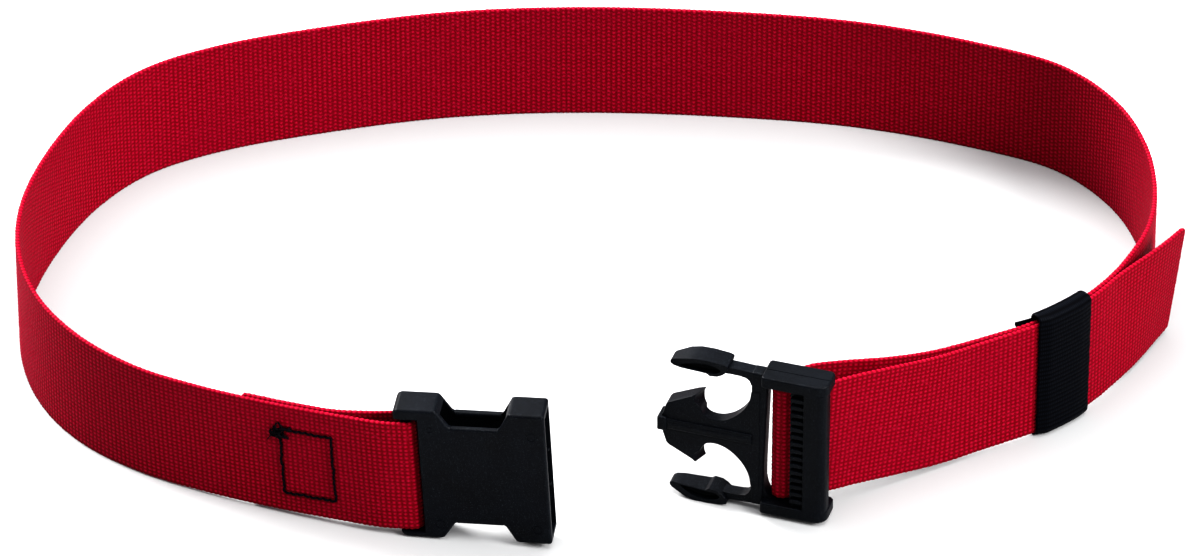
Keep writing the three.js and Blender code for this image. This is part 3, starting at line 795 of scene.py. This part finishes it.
def build_plug():
    rail = rail_outline()
    rails = merge([prism(rail, RAIL_INSIDE, PLUG_HALF, "Z"), prism(rail, -PLUG_HALF, -RAIL_INSIDE, "Z")])
    soften(rails, 0.8, 3, 60)
    # cross-bar with the rounded ends of the slot beside it
    slot = []
    bend = np.radians([12, 24, 36, 48, 60, 75, 90])
    for side in (1, -1):
        curved = [(0.6 + 5.6 * (1 - math.cos(a)), side * (19 + 7.8 * math.sin(a))) for a in bend]
        slot.append(prism([(0.6, side * 19), *curved, (0.6, side * SLOT_HALF)], 3.6, 9.0))
    cross = prism([(-4.6, -30.2), (0.6, -30.2), (0.6, -12), (1.9, 27), (1.9, 30.2), (-4.6, 30.2)], 3.3, 9.3)
    soften(cross, 0.9, 3)
    bar = prism(disc(*PLUG_BAR, PLUG_BAR_RADIUS, 24), -SLOT_HALF, SLOT_HALF, "Z")
    curve = spline(TONGUE_CURVE)
    waist = [point for point in curve if point[1] < 9.8 or point[0] > -20]
    web = [(-38, 2), (-36, 7), (-30, 9), *waist, (-1, 21.8)]
    tongue = soften(prism([*web, *mirror(web)], 3.0, 8), 0.4, 2, 25)
    wing = [*TONGUE_WING, *[point for point in curve if point[0] < -21 and point[1] > 7.5]]
    wings = soften(prism([*wing, *mirror(wing)], 2.98, 9.4), 0.35, 2, 25)
    # the barbs' ends are oblique: shorter on the near face
    for v in wings.data.vertices:
        v.co.x -= 2.4 * (9.4 - v.co.y) / 6.4 * float(ease((v.co.x + 28) / 3) * ease((abs(v.co.z) - 9.5) / 3))
    ridge = soften(prism([(-40.4, -2.2), (-3.9, -2.2), (-3.9, 2.2), (-40.4, 2.2)], 2.3, 5.4), 0.5, 3)
    spine = soften(prism([(-36.5, -0.7), (-3.9, -0.7), (-3.9, 0.7), (-36.5, 0.7)], 2.05, 3.4), 0.25, 2)
    tip = soften(block(-40.9, -37.2, 1.7, 9.4, -3.0, 3.0), 0.6, 3)
    end_bar = prism(END_BAR, -SLOT_HALF, SLOT_HALF, "Z")
    body = combine(rails, [cross, *slot, bar, tongue, wings, ridge, spine, tip, end_bar])
    # rungs across the recess, each with a pointed end on the flat bar
    teeth = []
    for i in range(TEETH):
        z = (i - (TEETH - 1) / 2) * TOOTH_PITCH
        edge = ((11.7, TOOTH_HALF), (15.8, TOOTH_HALF), (17.9, 0.15))
        rung = [*[(x, z - h) for x, h in edge], *[(x, z + h) for x, h in edge[::-1]]]
        teeth.append(soften(prism(rung, 0.32, 2.6), 0.22, 2, 30))
    combine(body, [merge(teeth)])
    # parting line round the rails, and two gate marks on the wings
    groove = merge([block(-1, 28, 6.0, 6.3, 31.06, 32), block(-1, 28, 6.0, 6.3, -32, -31.06)])
    marks = merge([block(-32.2, -30.6, 2.0, 3.05, z - 0.6, z + 0.6) for z in (7.6, -7.6)])
    combine(body, [groove, marks], "DIFFERENCE")
    return settle(body, "buckle_plug", plug_matrix)


def build_prong(side, name):
    """An arm from the cross-bar, and a hollowed head that locks into the socket's window."""
    turned = (lambda p: p) if side > 0 else mirror
    body = soften(prism(turned(PRONG_HEAD), 1.8, 10.8), 0.7, 3, 30)
    # the head thins towards its tip like a leaf
    for v in body.data.vertices:
        share = float(0.62 + 0.38 * ease((v.co.x + 36.5) / 9))
        v.co.y = PLUG_MIDDLE + (v.co.y - PLUG_MIDDLE) * share
    arm = soften(prism(turned(PRONG_ARM), 3.6, 9.0), 0.5, 2, 40)
    hollow = soften(prism(turned(PRONG_POCKET), 0, 4.6), 0.8, 3, 30)
    combine(body, [arm])
    combine(body, [hollow], "DIFFERENCE")
    return settle(body, name, plug_matrix)


plug = build_plug()
prong_upper = build_prong(1, "buckle_prong_upper")
prong_lower = build_prong(-1, "buckle_prong_lower")


# ------------------------------------------------------------------ materials
class Nodes:
    """A small helper that adds and links shader nodes."""

    def __init__(self, name):
        self.material = bpy.data.materials.new(name)
        self.material.use_nodes = True
        self.tree = self.material.node_tree
        self.shader = self.tree.nodes["Principled BSDF"]

    def add(self, kind, values=None, **settings):
        node = self.tree.nodes.new(kind)
        for key, value in settings.items():
            setattr(node, key, value)
        for key, value in (values or {}).items():
            self.feed(node.inputs[key], value)
        return node

    def feed(self, socket, value):
        if isinstance(value, bpy.types.NodeSocket):
            self.tree.links.new(value, socket)
        else:
            socket.default_value = value

    def math(self, operation, a, b=0.0):
        return self.add("ShaderNodeMath", {0: a, 1: b}, operation=operation).outputs[0]

    def mix(self, share, a, b):
        node = self.add("ShaderNodeMix", data_type="RGBA")
        self.feed(node.inputs["Factor"], share)
        self.feed(node.inputs["A"], a)
        self.feed(node.inputs["B"], b)
        return node.outputs["Result"]

    def span(self, value, low, high, to_low=0.0, to_high=1.0):
        node = self.add("ShaderNodeMapRange", {0: value, 1: low, 2: high, 3: to_low, 4: to_high})
        return node.outputs[0]

    def noise(self, scale, detail=3.0, stretch=(1, 1, 1)):
        place = self.add("ShaderNodeTexCoord").outputs["Object"]
        moved = self.add("ShaderNodeVectorMath", {0: place, 1: stretch}, operation="MULTIPLY").outputs[0]
        return self.add("ShaderNodeTexNoise", {"Vector": moved, "Scale": scale, "Detail": detail}).outputs[0]

    def bump(self, height, strength, distance, before=None):
        node = self.add("ShaderNodeBump", {"Height": height, "Strength": strength, "Distance": distance})
        if before is not None:
            self.feed(node.inputs["Normal"], before)
        return node.outputs[0]

    def finish(self, **sockets):
        for key, value in sockets.items():
            self.feed(self.shader.inputs[key.replace("_", " ")], value)
        return self.material


def webbing_material():
    n = Nodes("woven red polyester")
    weave = n.add("ShaderNodeAttribute", attribute_name="weave").outputs["Vector"]
    split = n.add("ShaderNodeSeparateXYZ", {0: weave})
    u, v = split.outputs[0], split.outputs[1]
    wave_u = n.math("POWER", n.math("ABSOLUTE", n.math("SINE", n.math("MULTIPLY", u, math.pi))), 1.6)
    wave_v = n.math("POWER", n.math("ABSOLUTE", n.math("COSINE", n.math("MULTIPLY", v, math.pi))), 1.6)
    dot = n.math("MULTIPLY", wave_u, wave_v)
    broad = n.noise(28, 3)
    fine = n.noise(900, 2)
    # painted shade and highlight: the colour is darker in the valleys between knuckles and brighter pinkish on the
    # knuckle tops, where a sheen highlight falls
    base = n.mix(n.span(dot, 0.0, 0.5), (0.11, 0.0, 0.004, 1), (0.17, 0.0004, 0.009, 1))
    knuckle_highlight = n.mix(n.span(dot, 0.35, 0.95), base, (0.29, 0.003, 0.024, 1))
    varied = n.mix(n.span(broad, 0.35, 0.7, 0, 0.3), knuckle_highlight, (0.145, 0.0, 0.012, 1))
    speck = n.mix(n.span(fine, 0.5, 0.75, 0, 0.22), varied, (0.38, 0.014, 0.055, 1))
    # filaments run along the webbing inside each knuckle
    strand = n.math("SINE", n.math("MULTIPLY", v, 2 * math.pi * 7))
    relief = n.bump(dot, 0.6, 0.00025)
    relief = n.bump(strand, 0.25, 0.00003, relief)
    relief = n.bump(fine, 0.3, 0.00008, relief)
    rough = n.span(fine, 0.3, 0.7, 0.55, 0.72)
    return n.finish(
        Base_Color=speck,
        Roughness=rough,
        Normal=relief,
        Sheen_Weight=0.03,
        Sheen_Roughness=0.4,
        Sheen_Tint=(1.0, 0.12, 0.25, 1),
        Specular_IOR_Level=0.04,
    )


def plastic_material():
    n = Nodes("moulded black plastic")
    grain = n.noise(2600, 3)
    broad = n.noise(60, 4)
    scuff = n.noise(420, 5, (1, 1, 0.25))
    painted_glint = n.noise(3800, 1)
    colour = n.mix(n.span(broad, 0.35, 0.7), (0.0009, 0.0013, 0.0024, 1), (0.002, 0.0028, 0.0048, 1))
    colour = n.mix(n.span(scuff, 0.62, 0.8, 0, 0.3), colour, (0.009, 0.012, 0.017, 1))
    # painted glints: tiny pale blue-grey specks in the colour stand in for sparkling highlights on the plastic
    colour = n.mix(n.span(painted_glint, 0.62, 0.78, 0, 0.55), colour, (0.06, 0.072, 0.082, 1))
    rough = n.span(n.math("ADD", grain, n.math("MULTIPLY", broad, 0.4)), 0.45, 0.95, 0.36, 0.55)
    relief = n.bump(grain, 0.4, 0.00008)
    relief = n.bump(broad, 0.15, 0.0003, relief)
    return n.finish(Base_Color=colour, Roughness=rough, Normal=relief, Specular_IOR_Level=0.09)


def thread_material():
    n = Nodes("black sewing thread")
    twist = n.noise(1800, 3, (1, 1, 0.4))
    colour = n.mix(n.span(twist, 0.35, 0.7), (0.0008, 0.0007, 0.0014, 1), (0.0045, 0.003, 0.005, 1))
    return n.finish(
        Base_Color=colour,
        Roughness=n.span(twist, 0.3, 0.7, 0.45, 0.7),
        Normal=n.bump(twist, 0.5, 0.0002),
        Specular_IOR_Level=0.05,
    )


def ribbon_material():
    n = Nodes("ribbed black ribbon")
    ribs = n.add("ShaderNodeAttribute", attribute_name="ribs").outputs["Vector"]
    split = n.add("ShaderNodeSeparateXYZ", {0: ribs})
    along, across = split.outputs[0], split.outputs[1]
    ridge = n.math("ABSOLUTE", n.math("COSINE", n.math("MULTIPLY", along, math.pi)))
    yarn = n.math("SINE", n.math("MULTIPLY", across, 2 * math.pi / 0.8))
    fine = n.noise(1500, 2)
    # painted shade and highlight: the colour is darker in the hollows between the ribs and lighter on their
    # crests, and the cords' tops carry a painted highlight
    colour = n.mix(n.span(ridge, 0.1, 0.9), (0.0008, 0.0008, 0.0015, 1), (0.0022, 0.0026, 0.0042, 1))
    cord = n.math("MULTIPLY", ridge, yarn)
    colour = n.mix(n.span(cord, 0.45, 1.0, 0, 0.4), colour, (0.012, 0.014, 0.019, 1))
    relief = n.bump(cord, 0.35, 0.00008)
    relief = n.bump(fine, 0.3, 0.00008, relief)
    rough = n.span(fine, 0.3, 0.7, 0.42, 0.6)
    return n.finish(Base_Color=colour, Roughness=rough, Normal=relief, Specular_IOR_Level=0.03)


red, plastic, thread, ribbed = webbing_material(), plastic_material(), thread_material(), ribbon_material()


for piece, material, slot in (
    (webbing_left, red, "red_webbing"),
    (webbing_right, red, "red_webbing"),
    (thread_front, thread, "black_thread"),
    (thread_back, thread, "black_thread"),
    (tack_low, thread, "black_thread"),
    (tack_high, thread, "black_thread"),
    (ribbon, ribbed, "black_ribbon"),
    (lap, ribbed, "black_ribbon"),
    (socket, plastic, "black_plastic"),
    (plug, plastic, "black_plastic"),
    (prong_upper, plastic, "black_plastic"),
    (prong_lower, plastic, "black_plastic"),
):
    piece.data.materials.clear()
    piece.data.materials.append(material)

# ------------------------------------------------------------------ bodies
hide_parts("strap_left_run", "strap_sewn_end", "strap_back")
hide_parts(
    "strap_right_run", "strap_adjuster_loop", "strap_outer_run", "strap_tail", "strap_back"
)
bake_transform(webbing_left)
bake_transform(webbing_right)
for piece, body, node in (
    (thread_front, "left_run", "box_stitch_front"),
    (thread_back, "left_run", "box_stitch_back"),
    (ribbon, "keeper", "keeper_band"),
    (lap, "keeper", "keeper_lap"),
    (tack_low, "keeper", "keeper_tack_low"),
    (tack_high, "keeper", "keeper_tack_high"),
    (socket, "socket", "socket_shell"),
    (plug, "plug", "plug_frame"),
):
    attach(piece, body)
    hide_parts(node)
for piece, body, node, z in (
    (prong_upper, "prong_upper", "plug_prong_upper", PRONG_LINE),
    (prong_lower, "prong_lower", "plug_prong_lower", -PRONG_LINE),
):
    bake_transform(piece)
    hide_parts(node)

# ------------------------------------------------------------------ floor and light
FLOOR_HALF = 60  # metres
corners = [(x * FLOOR_HALF, y * FLOOR_HALF, 0) for x, y in ((-1, -1), (1, -1), (1, 1), (-1, 1))]
floor = make_object("floor", corners, [[0, 1, 2, 3]], metres=False)
floor.data.materials.append(
    Nodes("pale floor").finish(Base_Color=(0.34, 0.34, 0.34, 1), Roughness=0.9, Specular_IOR_Level=0.1)
)

world = bpy.data.worlds.new("studio")
bpy.context.scene.world = world
world.use_nodes = True
tree = world.node_tree
direction = tree.nodes.new("ShaderNodeTexCoord").outputs["Generated"]
split = tree.nodes.new("ShaderNodeSeparateXYZ")
tree.links.new(direction, split.inputs[0])
ramp = tree.nodes.new("ShaderNodeValToRGB")
ramp.color_ramp.elements[0].position = 0.0
ramp.color_ramp.elements[0].color = (0.05, 0.05, 0.055, 1)
ramp.color_ramp.elements[1].position = 0.75
ramp.color_ramp.elements[1].color = (1.2, 1.22, 1.25, 1)
tree.links.new(split.outputs[2], ramp.inputs[0])
tree.links.new(ramp.outputs[0], tree.nodes["Background"].inputs["Color"])
tree.nodes["Background"].inputs["Strength"].default_value = 0.85


def sun(name, strength, spread, elevation, azimuth):
    """A wide soft sun. Azimuth 0 shines from the front, 90 from the right."""
    data = bpy.data.lights.new(name, "SUN")
    data.energy = strength
    data.angle = math.radians(spread)
    made = bpy.data.objects.new(name, data)
    e, a = math.radians(elevation), math.radians(azimuth)
    toward = Vector((math.sin(a) * math.cos(e), -math.cos(a) * math.cos(e), math.sin(e)))
    made.rotation_mode = "QUATERNION"
    made.rotation_quaternion = toward.to_track_quat("Z", "Y")
    bpy.context.scene.collection.objects.link(made)


sun("key", 4.6, 26, 34, 60)
sun("back", 7.0, 30, 36, -132)
sun("top", 2.4, 60, 85, 90)

bpy.context.scene.view_settings.view_transform = "Standard"
bpy.context.scene.view_settings.look = "High Contrast"
